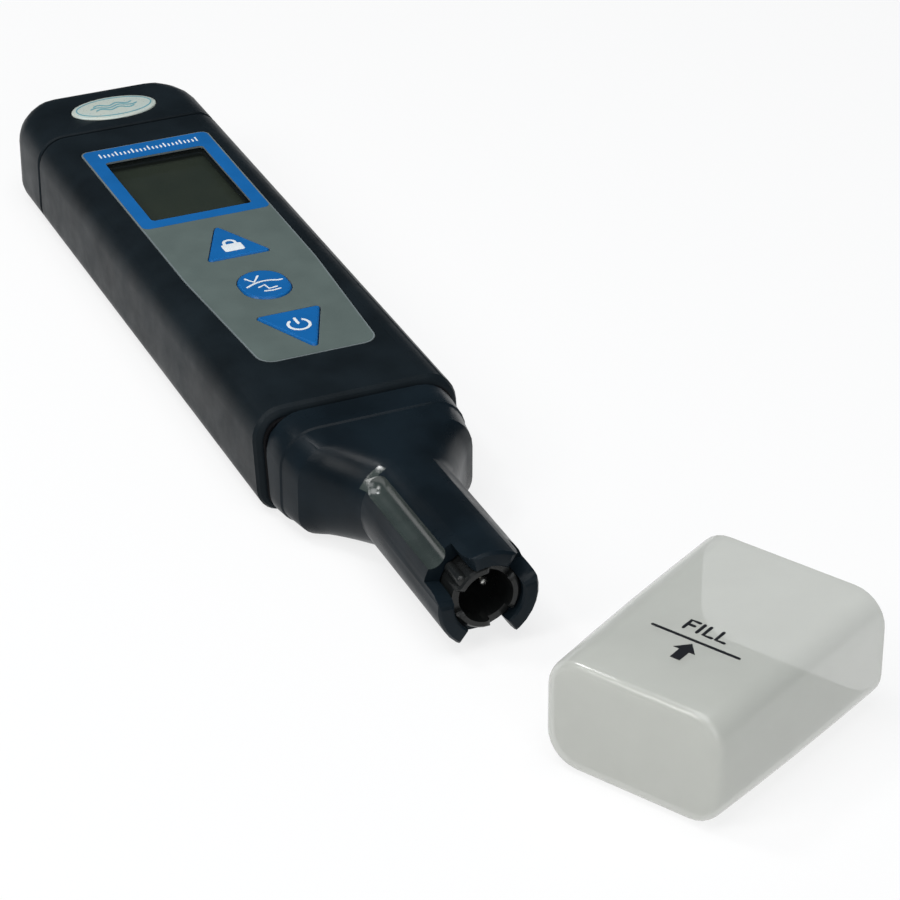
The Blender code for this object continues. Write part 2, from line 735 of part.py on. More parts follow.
def make_sensor_core(core_look, pin_look, bead_look):
    """The core in the sleeve, with two electrode pins and the temperature bead."""
    face = -99.0
    core = rod_y("sensor_core", SLEEVE_RADIUS - SLEEVE_WALL - GAP, face, -72.0, (0.0, BODY_AXIS_Z), core_look,
                 dome=0.6)
    places = (("electrode_pin_left", -2.0, BODY_AXIS_Z - 1.1, PIN_RADIUS, -104.4, pin_look),
              ("electrode_pin_right", 2.0, BODY_AXIS_Z - 1.1, PIN_RADIUS, -104.4, pin_look),
              ("temperature_bead", 0.0, BODY_AXIS_Z + 2.0, 0.8, -102.5, bead_look))
    for name, x, z, radius, near, look in places:
        cut(core, rod_y(name + "_hole", radius + GAP, face - 1, face + 6.0, (x, z), None, sides=16))
        rod_y(name, radius, near, face + 5.5, (x, z), look, dome=radius * 0.9, sides=16)


# ---------------------------------------------------------------- clear cap

def cap_section(share, inset):
    """The clear cap's cross-section; `share` runs from 0 at the closed end to 1 at the mouth."""
    bulge = 0.35 * math.sin(math.pi * share)
    width = CAP_CLOSED_SIZE[0] + (CAP_MOUTH_SIZE[0] - CAP_CLOSED_SIZE[0]) * share + bulge - 2 * inset
    height = CAP_CLOSED_SIZE[1] + (CAP_MOUTH_SIZE[1] - CAP_CLOSED_SIZE[1]) * share + bulge - 2 * inset
    radius = CAP_CORNER - inset
    return section(width, height, radius, radius, centre_z=0.0)


def make_clear_cap(look):
    """A tapered cup with rounded edges at its closed end, lying on its side."""
    outer = []
    for step in range(4):
        angle = math.radians(90) * step / 3
        inset = CAP_END_ROUNDING * (1 - math.sin(angle))
        depth = CAP_END_ROUNDING * (1 - math.cos(angle))
        outer.append(along_y(cap_section(depth / CAP_LENGTH, inset), depth))
    for share in (0.25, 0.5, 0.75, 1.0):
        outer.append(along_y(cap_section(share, 0.0), share * CAP_LENGTH))
    inner = []
    for share in (1.0, 0.75, 0.5, 0.25):
        inner.append(along_y(cap_section(share, CAP_WALL), share * CAP_LENGTH))
    floor_share = CAP_END_WALL / CAP_LENGTH
    inner.append(along_y(cap_section(floor_share, CAP_WALL), CAP_END_WALL + 0.6))
    inner.append(along_y(cap_section(floor_share, CAP_WALL + 0.6), CAP_END_WALL))
    cap = mesh_object("clear_cap", outer + inner, look)
    slope = math.atan2((CAP_MOUTH_SIZE[1] - CAP_CLOSED_SIZE[1]) / 2, CAP_LENGTH)
    cap.matrix_world = (Matrix.Translation((CAP_CLOSED_END[0] * MM, CAP_CLOSED_END[1] * MM,
                                            CAP_CLOSED_SIZE[1] / 2 * MM + 0.0002))
                        @ Matrix.Rotation(CAP_TURN, 4, "Z") @ Matrix.Rotation(slope, 4, "X"))
    return cap


# ---------------------------------------------------------------- assembly

def main():
    """Build every piece of the pen and its cap."""
    clear_scene()
    black = material("black_plastic", (0.010, 0.014, 0.017), 0.38)
    module_black = material("module_plastic", (0.009, 0.013, 0.017), 0.34)
    cap_black = material("battery_cap_plastic", (0.010, 0.014, 0.017), 0.38)
    rubber = material("seal_rubber", (0.008, 0.009, 0.01), 0.7)
    label_print = material("label_print", (0.105, 0.135, 0.125), 0.4)
    key_rubber = material("key_rubber", (0.003, 0.118, 0.37), 0.35)
    holder_black = material("holder_plastic", (0.018, 0.019, 0.018), 0.5)
    clear = material("clear_window", (0.75, 0.8, 0.75), 0.05, alpha=0.3)
    display = material("display_glass", (0.033, 0.043, 0.031), 0.16)
    white_plastic = material("white_plastic", (0.75, 0.76, 0.74), 0.5)
    strip_rubber = material("strip_rubber", (0.25, 0.25, 0.27), 0.7)
    board_green = material("circuit_board", (0.02, 0.16, 0.06), 0.45)
    chip_black = material("chip", (0.02, 0.02, 0.022), 0.5)
    switch_metal = material("switch_metal", (0.55, 0.55, 0.52), 0.35, metallic=0.8)
    nickel = material("nickel", (0.72, 0.7, 0.65), 0.28, metallic=1.0)
    cell_steel = material("cell_steel", (0.7, 0.7, 0.7), 0.25, metallic=1.0)
    silver = material("badge_silver", (0.62, 0.7, 0.7), 0.3, metallic=0.4)
    sleeve_black = material("sleeve_plastic", (0.012, 0.013, 0.014), 0.3)
    pin_steel = material("pin_steel", (0.6, 0.6, 0.58), 0.25, metallic=1.0)
    cap_clear = material("cap_plastic", (0.44, 0.45, 0.42), 0.16, alpha=0.8)

    make_housing(black)
    make_label(label_print)
    make_lens(clear)
    make_display(display, holder_black, strip_rubber)
    for name, corners, middle in key_layout():
        make_key(name, corners, middle, key_rubber)
        make_switch(name.replace("key", "switch"), middle, switch_metal)
    make_board(board_green)
    make_chip(chip_black)
    make_board_springs(nickel)
    make_socket(white_plastic)

    make_battery_cap(cap_black)
    make_badge(silver)
    seal_ring("battery_cap_seal", HOUSING_FAR + 0.15, BATTERY_CAP_NEAR - 0.15, 0.45, WALL, rubber)
    make_battery_tray(white_plastic)
    make_cells(cell_steel)
    make_tray_contacts(nickel)

    make_probe_module(module_black)
    seal_ring("probe_seal", COLLAR_FAR + GAP, HOUSING_NEAR - GAP, 1.35, PLUG_INSET - FILM_GAP, rubber, lean=True)
    make_plug(white_plastic)
    make_sensor_sleeve(sleeve_black)
    make_sensor_core(sleeve_black, pin_steel, nickel)

    make_clear_cap(cap_clear)


main()
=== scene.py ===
"""Pocket water tester pen beside its clear storage cap: materials, printed marks, light and camera.

Sizes of the object here are millimetres; `MM` turns them into metres, the unit of the frame. The
camera, lights and floor are placed in metres.
"""
import json
import math

import bmesh
import bpy
from mathutils import Matrix, Vector
from mathutils.bvhtree import BVHTree

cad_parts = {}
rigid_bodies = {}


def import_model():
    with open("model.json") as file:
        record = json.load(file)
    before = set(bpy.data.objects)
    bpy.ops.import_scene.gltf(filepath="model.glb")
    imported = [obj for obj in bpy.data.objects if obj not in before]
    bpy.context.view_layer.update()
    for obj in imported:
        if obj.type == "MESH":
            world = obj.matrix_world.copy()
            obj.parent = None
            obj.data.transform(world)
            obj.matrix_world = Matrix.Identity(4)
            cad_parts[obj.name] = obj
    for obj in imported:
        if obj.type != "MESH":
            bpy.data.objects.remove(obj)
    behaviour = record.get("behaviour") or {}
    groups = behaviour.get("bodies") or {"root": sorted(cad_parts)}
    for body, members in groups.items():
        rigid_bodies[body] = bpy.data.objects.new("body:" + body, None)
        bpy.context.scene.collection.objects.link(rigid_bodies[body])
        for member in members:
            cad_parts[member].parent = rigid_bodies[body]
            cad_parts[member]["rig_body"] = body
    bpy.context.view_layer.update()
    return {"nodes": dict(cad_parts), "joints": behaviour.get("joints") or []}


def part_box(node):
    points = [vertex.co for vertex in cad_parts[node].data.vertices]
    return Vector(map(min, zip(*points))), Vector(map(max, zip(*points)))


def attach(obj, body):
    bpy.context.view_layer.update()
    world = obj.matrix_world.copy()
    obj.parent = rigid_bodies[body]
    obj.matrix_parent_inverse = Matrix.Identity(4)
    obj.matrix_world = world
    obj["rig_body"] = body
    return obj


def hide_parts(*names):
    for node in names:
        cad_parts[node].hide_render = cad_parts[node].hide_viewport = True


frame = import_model()

MM = 0.001

# Printed marks, which are thin raised pieces
PRINT_THICKNESS = 0.05
PRINT_LIFT = 0.012          # gap between a print and the surface under it
PRINT_STEP = 0.005          # how much thicker each overlapping stroke is than the one before it
SIGN_THICKNESS = 0.04       # the signs on the keys
SIGN_STEP = 0.004
FILM_THICKNESS = 0.03       # the grey and blue areas of the label
CORNER_STEPS = 8            # straight pieces in each rounded corner of a print

# Camera at the photograph's viewing angle: degrees, metres, and millimetres for lens and sensor
CAMERA_AZIMUTH = -23.81
CAMERA_ELEVATION = 30.43
CAMERA_DISTANCE = 0.5928
CAMERA_TARGET = (0.01909, -0.0522, 0.0)
CAMERA_LENS = 138.08
CAMERA_SENSOR = 36.0

# Studio, in metres
FLOOR_HALF_SIZE = 6.0
FLOOR_HEIGHT = -0.0002
LIGHT_TARGET = (0.01, -0.05, 0.01)
WORLD_COLOR = (0.55, 0.72, 0.9)
WORLD_STRENGTH = 0.12

# Front label
LABEL_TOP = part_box("front_label")[1].z / MM
LABEL_HALF_WIDTH_FAR = 12.8
LABEL_HALF_WIDTH_MIDDLE = 12.5
LABEL_HALF_WIDTH_NEAR = 10.7
LABEL_FAR = 49.2
LABEL_MIDDLE = -8.0
LABEL_NEAR = -41.4
LABEL_CORNER_FAR = 1.6
LABEL_CORNER_NEAR = 3.0
LABEL_SIDE_RADIUS = 30.0    # soft bend half way along each side
LABEL_RIM = 0.3             # unprinted edge
FRAME_NEAR = 13.6           # where the blue frame ends and the grey keypad starts
FRAME_HALF_WIDTH_NEAR = 12.6
HOLE_MARGIN = 0.2           # how far the print stays from each key

# Display opening in the label
WINDOW_HALF_WIDTH = 9.7
WINDOW_NEAR = 16.7
WINDOW_FAR = 43.2
WINDOW_CORNER = 0.8
WINDOW_MARGIN = 0.05

# Scale marks over the display
MARK_COUNT = 25
MARK_PITCH = 0.8
MARK_WIDTH = 0.3
MARK_NEAR = 45.5
MARK_LENGTH = 0.9
LONG_MARK_LENGTH = 1.5      # every fourth mark

# Keys
KEY_HALF_WIDTH = 6.1
KEY_CORNER = 0.6
HOLD_KEY_Y = 2.2
HOLD_KEY_BASE = 4.9         # from the key's middle to its flat side
HOLD_KEY_POINT = 8.0        # from the key's middle to its point
CAL_KEY_Y = -14.7
CAL_KEY_HALF_SIZE = (4.5, 5.4)
CAL_KEY_CORNER = 4.49
POWER_KEY_Y = -33.1
POWER_KEY_BASE = 7.4
POWER_KEY_POINT = 6.6

# Badge
BADGE_RING_INSETS = (0.9, 1.15)
BADGE_WAVE_ROWS = (0.95, 0.0, -0.95)
BADGE_WAVE_REACH = 4.6      # half the length of the middle wave
BADGE_WAVE_HEIGHT = 0.42

# Marks on the clear cap, measured from its closed end and from its middle line
FILL_LINE_AT = 15.4
FILL_SHIFT = 0.6
FILL_LINE_HALF_LENGTH = 7.6
FILL_WORD_START = -3.5
FILL_WORD_RISE = 2.0        # from the line to the foot of the letters
LETTER_HEIGHT = 2.3
LETTER_WIDTH = 1.5
LETTER_STROKE = 0.55

# The channel along the probe's neck
FLUTE_RADIUS = 2.35
FLUTE_AWAY = 9.4            # from the neck's axis to the channel's
FLUTE_ANGLE = math.radians(139)
NECK_AXIS_Z = 9.0
FLUTE_NEAR = -105.0
FLUTE_FAR = -78.0

# Main colours
PLASTIC_BLACK = (0.0085, 0.0125, 0.0155)
MODULE_BLACK = (0.0060, 0.0105, 0.0145)
LABEL_BLUE = (0.003, 0.118, 0.37)
LABEL_GREY = (0.105, 0.135, 0.125)
LABEL_RIM_GREY = (0.17, 0.20, 0.205)
PRINT_WHITE = (0.78, 0.82, 0.84)


# ---------------------------------------------------------------- materials

def new_material(name, color, roughness, **sockets):
    """A Principled material; each extra socket is set by its name with underscores for spaces."""
    look = bpy.data.materials.new(name)
    look.use_nodes = True
    shader = look.node_tree.nodes["Principled BSDF"]
    shader.inputs["Base Color"].default_value = (*color, 1.0)
    shader.inputs["Roughness"].default_value = roughness
    for key, value in sockets.items():
        shader.inputs[key.replace("_", " ")].default_value = value
    look.diffuse_color = (*color, 1.0)
    return look


def noise(look, scale, detail=3.0, roughness=0.5, stretch=(1.0, 1.0, 1.0)):
    """A noise texture in object space; `scale` counts features per metre."""
    nodes, links = look.node_tree.nodes, look.node_tree.links
    place = nodes.new("ShaderNodeTexCoord")
    mapping = nodes.new("ShaderNodeMapping")
    mapping.inputs["Scale"].default_value = stretch
    texture = nodes.new("ShaderNodeTexNoise")
    texture.inputs["Scale"].default_value = scale
    texture.inputs["Detail"].default_value = detail
    texture.inputs["Roughness"].default_value = roughness
    links.new(place.outputs["Object"], mapping.inputs["Vector"])
    links.new(mapping.outputs["Vector"], texture.inputs["Vector"])
    return texture


def vary_color(look, texture, first, second):
    """Colour that drifts between two values with a texture."""
    nodes, links = look.node_tree.nodes, look.node_tree.links
    ramp = nodes.new("ShaderNodeValToRGB")
    ramp.color_ramp.elements[0].position = 0.35
    ramp.color_ramp.elements[0].color = (*first, 1.0)
    ramp.color_ramp.elements[1].position = 0.65
    ramp.color_ramp.elements[1].color = (*second, 1.0)
    links.new(texture.outputs["Fac"], ramp.inputs["Fac"])
    links.new(ramp.outputs["Color"], nodes["Principled BSDF"].inputs["Base Color"])


def vary_roughness(look, texture, low, high):
    """Roughness that drifts with a texture, like handling marks."""
    nodes, links = look.node_tree.nodes, look.node_tree.links
    spread = nodes.new("ShaderNodeMapRange")
    spread.inputs["From Min"].default_value = 0.3
    spread.inputs["From Max"].default_value = 0.7
    spread.inputs["To Min"].default_value = low
    spread.inputs["To Max"].default_value = high
    links.new(texture.outputs["Fac"], spread.inputs["Value"])
    links.new(spread.outputs["Result"], nodes["Principled BSDF"].inputs["Roughness"])


def add_bump(look, texture, depth):
    """Surface relief from a texture, `depth` in millimetres."""
    nodes, links = look.node_tree.nodes, look.node_tree.links
    bump = nodes.new("ShaderNodeBump")
    bump.inputs["Strength"].default_value = 1.0
    bump.inputs["Distance"].default_value = depth * MM
    links.new(texture.outputs["Fac"], bump.inputs["Height"])
    links.new(bump.outputs["Normal"], nodes["Principled BSDF"].inputs["Normal"])


def shade(color, factor):
    """A lighter or darker version of a colour."""
    return tuple(value * factor for value in color)


def moulded_plastic(name, color, roughness, specular=0.4):
    """Moulded plastic: fine sparked grain, faint colour drift and handling marks."""
    look = new_material(name, color, roughness, Specular_IOR_Level=specular)
    vary_color(look, noise(look, 90.0, 4.0), shade(color, 0.75), shade(color, 1.25))
    vary_roughness(look, noise(look, 160.0, 5.0, 0.6), roughness - 0.05, roughness + 0.07)
    add_bump(look, noise(look, 5200.0, 2.0), 0.012)
    return look


def rubber(name, color):
    """Matt rubber with a soft mottled surface."""
    look = new_material(name, color, 0.75, Specular_IOR_Level=0.08)
    vary_color(look, noise(look, 700.0, 4.0), color, shade(color, 1.6))
    add_bump(look, noise(look, 3000.0, 3.0), 0.02)
    return look


def metal(name, color, roughness):
    """Plated metal with fine drawn lines along the pen."""
    look = new_material(name, color, roughness, Metallic=1.0)
    lines = noise(look, 2600.0, 2.0, stretch=(1.0, 0.06, 1.0))
    vary_color(look, noise(look, 400.0, 3.0), shade(color, 0.82), color)
    vary_roughness(look, lines, roughness - 0.06, roughness + 0.1)
    add_bump(look, lines, 0.004)
    return look


def printed_film(name, color, roughness=0.34, peel=0.006):
    """Printed plastic film with a very fine orange peel, `peel` millimetres deep."""
    look = new_material(name, color, roughness, Specular_IOR_Level=0.42)
    vary_color(look, noise(look, 130.0, 3.0), shade(color, 0.94), shade(color, 1.06))
    vary_roughness(look, noise(look, 260.0, 4.0), roughness - 0.04, roughness + 0.06)
    add_bump(look, noise(look, 3600.0, 2.0), peel)
    return look


def display_glass():
    """Unlit liquid crystal: dark olive, with a faint cloud and its fine cell pattern."""
    look = new_material("lcd_glass", (0.036, 0.046, 0.032), 0.16, Specular_IOR_Level=0.25)
    vary_color(look, noise(look, 75.0, 3.0), (0.030, 0.040, 0.028), (0.040, 0.050, 0.034))
    vary_roughness(look, noise(look, 500.0, 3.0), 0.13, 0.2)
    add_bump(look, noise(look, 900.0, 2.0), 0.002)
    return look


def clear_window():
    """The display's clear cover: hard coated, with faint wipe marks."""
    look = new_material("window_plastic", (0.02, 0.024, 0.02), 0.06, Alpha=0.16, Specular_IOR_Level=0.3)
    vary_roughness(look, noise(look, 240.0, 5.0, 0.6, (1.0, 0.2, 1.0)), 0.03, 0.12)
    return look


def clear_plastic():
    """The storage cap: smoky translucent plastic with faint flow marks."""
    look = new_material("cap_plastic", (0.60, 0.61, 0.565), 0.15, Alpha=0.63, Specular_IOR_Level=0.7)
    flow = noise(look, 110.0, 4.0, 0.55, (0.6, 1.0, 1.0))
    vary_color(look, flow, (0.595, 0.605, 0.56), (0.615, 0.625, 0.58))
    vary_roughness(look, noise(look, 300.0, 5.0, 0.6), 0.12, 0.22)
    add_bump(look, noise(look, 190.0, 2.0), 0.02)
    return look


def badge_metal():
    """Satin silver of the badge's face, a little aqua in places."""
    look = new_material("badge_silver", (0.58, 0.63, 0.56), 0.34, Metallic=0.1)
    vary_color(look, noise(look, 160.0, 2.0), (0.54, 0.62, 0.58), (0.60, 0.63, 0.55))
    vary_roughness(look, noise(look, 2400.0, 2.0), 0.26, 0.36)
    add_bump(look, noise(look, 4000.0, 2.0), 0.004)
    return look


def circuit_board_look():
    """Green solder mask with lighter tracks showing through, and a fine grain."""
    look = new_material("solder_mask", (0.012, 0.11, 0.04), 0.38)
    nodes, links = look.node_tree.nodes, look.node_tree.links
    place = nodes.new("ShaderNodeTexCoord")
    tracks = nodes.new("ShaderNodeTexBrick")
    tracks.inputs["Color1"].default_value = (0.012, 0.12, 0.045, 1.0)
    tracks.inputs["Color2"].default_value = (0.010, 0.10, 0.038, 1.0)
    tracks.inputs["Mortar"].default_value = (0.03, 0.2, 0.07, 1.0)
    tracks.inputs["Scale"].default_value = 420.0
    tracks.inputs["Mortar Size"].default_value = 0.03
    links.new(place.outputs["Object"], tracks.inputs["Vector"])
    links.new(tracks.outputs["Color"], nodes["Principled BSDF"].inputs["Base Color"])
    add_bump(look, noise(look, 2500.0, 2.0), 0.01)
    return look


def floor_look():
    """Pale matt studio floor with an even glow of its own, so that shadows stay soft."""
    look = new_material("studio_floor", (0.2, 0.2, 0.2), 0.95, Specular_IOR_Level=0.0)
    shader = look.node_tree.nodes["Principled BSDF"]
    shader.inputs["Emission Color"].default_value = (1.0, 1.0, 1.0, 1.0)
    shader.inputs["Emission Strength"].default_value = 0.78
    return look


# ---------------------------------------------------------------- flat outlines

def rounded(corners, grow=0.0):
    """Points of a counter-clockwise polygon (x, y, radius) with arcs at its corners, moved out by `grow`."""
    points = []
    for index, (x, y, radius) in enumerate(corners):
        before = Vector(corners[index - 1][:2])
        after = Vector(corners[(index + 1) % len(corners)][:2])
        here = Vector((x, y))
        side_in = (here - before).normalized()
        side_out = (after - here).normalized()
        normal_in = Vector((side_in.y, -side_in.x))
        normal_out = Vector((side_out.y, -side_out.x))
        mitre = (normal_in + normal_out) / (1.0 + normal_in.dot(normal_out))
        arc_radius = max(radius + grow, 0.02)
        centre = here + mitre * (grow - arc_radius)
        start = math.atan2(normal_in.y, normal_in.x)
        turn = (math.atan2(normal_out.y, normal_out.x) - start) % (2 * math.pi)
        for step in range(CORNER_STEPS + 1):
            angle = start + turn * step / CORNER_STEPS
            points.append((centre.x + arc_radius * math.cos(angle), centre.y + arc_radius * math.sin(angle)))
    return points


def stroke(points, width, cap_steps=5):
    """Outline of a line of even width with round ends, along a list of points."""
    half = width / 2
    left, right = [], []
    for index, point in enumerate(points):
        here = Vector(point)
        before = Vector(points[max(index - 1, 0)])
        after = Vector(points[min(index + 1, len(points) - 1)])
        along = (after - before).normalized()
        across = Vector((-along.y, along.x)) * half
        left.append(here + across)
        right.append(here - across)

    def cap(centre, start_direction):
        """A round end, from one side of the line to the other."""
        start = math.atan2(start_direction.y, start_direction.x)
        return [centre + Vector((math.cos(start - math.pi * k / cap_steps),
                                 math.sin(start - math.pi * k / cap_steps))) * half
                for k in range(1, cap_steps)]

    last, first = Vector(points[-1]), Vector(points[0])
    return left + cap(last, left[-1] - last) + right[::-1] + cap(first, right[0] - first)


def arc(centre, radius, start, stop, steps=20):
    """Points along an arc between two angles in degrees."""
    angles = [math.radians(start + (stop - start) * step / steps) for step in range(steps + 1)]
    return [(centre[0] + radius * math.cos(a), centre[1] + radius * math.sin(a)) for a in angles]


def moved(outline, centre, scale=1.0):
    """An outline scaled and placed at a centre."""
    return [(centre[0] + scale * x, centre[1] + scale * y) for x, y in outline]


# ---------------------------------------------------------------- printed marks

def add_object(name, data):
    """A new object in the scene."""
    made = bpy.data.objects.new(name, data)
    bpy.context.scene.collection.objects.link(made)
    return made


def surface_tree(node):
    """A search tree over a CAD node's surface."""
    mesh = bmesh.new()
    mesh.from_mesh(frame["nodes"][node].data)
    tree = BVHTree.FromBMesh(mesh)
    mesh.free()
    return tree


def flat_mesh(name, outlines):
    """A filled sheet from closed outlines in millimetres; inner outlines become holes."""
    curve = bpy.data.curves.new(name, "CURVE")
    curve.dimensions = "2D"
    curve.fill_mode = "BOTH"
    for outline in outlines:
        line = curve.splines.new("POLY")
        line.points.add(len(outline) - 1)
        line.use_cyclic_u = True
        for point, place in zip(line.points, outline):
            point.co = (place[0] * MM, place[1] * MM, 0.0, 1.0)
    holder = add_object(name, curve)
    bpy.context.view_layer.update()
    depsgraph = bpy.context.evaluated_depsgraph_get()
    data = bpy.data.meshes.new_from_object(holder.evaluated_get(depsgraph))
    bpy.data.objects.remove(holder, do_unlink=True)
    bpy.data.curves.remove(curve)
    return data


def print_on(name, outlines, look, node, body, place=None, height=None, thickness=PRINT_THICKNESS):
    """Ink laid on a CAD node's upper surface, thick enough to be a real layer.

    `place` turns the outlines' plane into the frame. With `height` the ink is flat at that level.
    """
    data = flat_mesh(name, outlines)
    if place is not None:
        data.transform(place)
    mesh = bmesh.new()
    mesh.from_mesh(data)
    bmesh.ops.remove_doubles(mesh, verts=mesh.verts, dist=1e-7)
    tree = surface_tree(node) if height is None else None
    for vert in mesh.verts:
        level = height * MM if tree is None else surface_height(tree, vert.co)
        vert.co.z = level + PRINT_LIFT * MM
    base = list(mesh.faces)
    raised = bmesh.ops.extrude_face_region(mesh, geom=base)
    for item in raised["geom"]:
        if isinstance(item, bmesh.types.BMVert):
            item.co.z += thickness * MM
    bmesh.ops.recalc_face_normals(mesh, faces=mesh.faces)
    mesh.to_mesh(data)
    mesh.free()
    data.materials.clear()
    data.materials.append(look)
    piece = add_object(name, data)
    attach(piece, body)
    return piece


def surface_height(tree, point):
    """Height of a surface straight under a point."""
    hit, _, _, _ = tree.ray_cast(Vector((point.x, point.y, 1.0)), Vector((0.0, 0.0, -1.0)))
    return hit.z if hit else 0.0


def mirrored(corners):
    """A counter-clockwise polygon from the corners of its right half, listed from near to far."""
    return corners + [(-x, y, radius) for x, y, radius in corners[::-1]]


def label_outline():
    """The printed area of the front label, just inside its edge."""
    return rounded(mirrored([(LABEL_HALF_WIDTH_NEAR, LABEL_NEAR, LABEL_CORNER_NEAR),
                             (LABEL_HALF_WIDTH_MIDDLE, LABEL_MIDDLE, LABEL_SIDE_RADIUS),
                             (LABEL_HALF_WIDTH_FAR, LABEL_FAR, LABEL_CORNER_FAR)]), -LABEL_RIM)


def frame_outline():
    """The blue area of the label, from its far end to the keypad."""
    return rounded(mirrored([(FRAME_HALF_WIDTH_NEAR, FRAME_NEAR, LABEL_CORNER_FAR),
                             (LABEL_HALF_WIDTH_FAR, LABEL_FAR, LABEL_CORNER_FAR)]), -LABEL_RIM)


def window_outline():
    """The display opening in the label's print."""
    return rounded(mirrored([(WINDOW_HALF_WIDTH, WINDOW_NEAR, WINDOW_CORNER),
                             (WINDOW_HALF_WIDTH, WINDOW_FAR, WINDOW_CORNER)]), WINDOW_MARGIN)


def key_holes():
    """Openings in the label's print: a triangle to the display, an oval, and a triangle to the probe."""
    hold_near = HOLD_KEY_Y - HOLD_KEY_BASE
    hold = [(-KEY_HALF_WIDTH, hold_near, KEY_CORNER), (KEY_HALF_WIDTH, hold_near, KEY_CORNER),
            (0.0, HOLD_KEY_Y + HOLD_KEY_POINT, KEY_CORNER)]
    half_width, half_length = CAL_KEY_HALF_SIZE
    cal = mirrored([(half_width, CAL_KEY_Y - half_length, CAL_KEY_CORNER),
                    (half_width, CAL_KEY_Y + half_length, CAL_KEY_CORNER)])
    power_far = POWER_KEY_Y + POWER_KEY_BASE
    power = [(-KEY_HALF_WIDTH, power_far, KEY_CORNER), (0.0, POWER_KEY_Y - POWER_KEY_POINT, KEY_CORNER),
             (KEY_HALF_WIDTH, power_far, KEY_CORNER)]
    return [rounded(corners, HOLE_MARGIN) for corners in (hold, cal, power)]


# ---------------------------------------------------------------- label, keys, badge and display

def print_label():
    """Grey keypad panel, blue display frame with a plain row of scale marks, and the film's light rim."""
    paint("front_label", printed_film("label_rim", LABEL_RIM_GREY))
    grey = printed_film("keypad_grey", LABEL_GREY, 0.4)
    blue = printed_film("label_blue", LABEL_BLUE, 0.36)
    white = printed_film("print_white", PRINT_WHITE, 0.4)
    panel = print_on("keypad_panel", [label_outline()] + key_holes() + [window_outline()], grey,
                     "front_label", "pen", height=LABEL_TOP, thickness=FILM_THICKNESS)
    border = print_on("display_frame_print", [frame_outline(), window_outline()], blue,
                      "front_label", "pen", height=LABEL_TOP + FILM_THICKNESS, thickness=FILM_THICKNESS)
    marks = []
    for index in range(MARK_COUNT):
        x = (index - MARK_COUNT // 2) * MARK_PITCH
        length = LONG_MARK_LENGTH if index % 4 == 0 else MARK_LENGTH
        marks.append(stroke([(x, MARK_NEAR), (x, MARK_NEAR + length)], MARK_WIDTH, 3))
    scale = print_on("header_scale_marks", marks, white, "front_label", "pen",
                     height=LABEL_TOP + 2 * FILM_THICKNESS)


def print_keys():
    """Blue keys with white signs: padlock, calibration arrows and power, each drawn round its own middle."""
    white = printed_film("sign_white", PRINT_WHITE, 0.4)
    blue = printed_film("key_blue", LABEL_BLUE, 0.33, 0.01)
    for key in ("hold_key", "cal_key", "power_key"):
        paint(key, blue)
    shackle = arc((0.0, 0.95), 1.15, 0, 180, 16)
    padlock = [stroke([(1.15, 0.2)] + shackle + [(-1.15, 0.2)], 0.62),
               rounded([(-2.1, -2.6, 0.5), (2.1, -2.6, 0.5), (2.1, 0.45, 0.5), (-2.1, 0.45, 0.5)])]
    add_sign("hold_sign", padlock, "hold_key", (-0.1, HOLD_KEY_Y - 0.6), 0.9, "hold", white)
    arrows = [stroke([(-2.6, 2.6), (-1.5, 0.9), (-0.1, 2.9)], 0.42),
              stroke([(-3.3, -0.5)] + arc((0.2, -4.4), 5.1, 118, 62, 10) + [(3.4, 0.1)], 0.42),
              stroke([(-1.4, -1.3), (-0.2, -0.7), (0.1, -2.3), (1.6, -2.1)], 0.42),
              stroke([(-0.9, -2.9), (0.4, -3.2), (1.9, -3.0)], 0.38)]
    add_sign("cal_sign", arrows, "cal_key", (0.0, CAL_KEY_Y + 0.2), 1.0, "cal", white)
    power = [stroke(arc((0.0, 0.0), 2.0, 130, 410, 36), 0.55), stroke([(0.0, 0.4), (0.0, 2.4)], 0.55)]
    add_sign("power_sign", power, "power_key", (0.0, POWER_KEY_Y + 1.9), 0.95, "power", white)


def add_sign(name, outlines, key, centre, scale, body, look):
    """White sign on a key's face; its separate strokes are laid one by one, so that they may overlap."""
    for index, outline in enumerate(outlines):
        placed = moved(outline, centre, scale)
        piece = print_on(f"{name}_{index + 1}", [placed], look, key, body,
                         thickness=SIGN_THICKNESS + SIGN_STEP * index)


def paint(node, look):
    """Give a CAD node one material."""
    slots = frame["nodes"][node].data.materials
    slots.clear()
    slots.append(look)


def fine_shell(node, look, edge=0.12, turn=28.0):
    """A finished surface in place of a faceted CAD node: even faces, smooth shading and softened edges.

    `edge` is the width of the softened edges in millimetres, and `turn` the angle from which an edge
    counts as one, in degrees.
    """
    mesh = bmesh.new()
    mesh.from_mesh(frame["nodes"][node].data)
    bmesh.ops.remove_doubles(mesh, verts=mesh.verts, dist=1e-6)
    bmesh.ops.dissolve_limit(mesh, angle_limit=math.radians(0.3), verts=mesh.verts, edges=mesh.edges)
    data = bpy.data.meshes.new(node + "_shell")
    mesh.to_mesh(data)
    mesh.free()
    data.materials.append(look)
    data.shade_smooth()
    data.set_sharp_from_angle(angle=math.radians(turn))
    piece = add_object(node + "_shell", data)
    if edge:
        soften = piece.modifiers.new("soft_edges", "BEVEL")
        soften.width = edge * MM
        soften.segments = 2
        soften.limit_method = "ANGLE"
        soften.angle_limit = math.radians(turn)
        soften.harden_normals = True
    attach(piece, frame["nodes"][node]["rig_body"])
    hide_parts(node)
    return piece


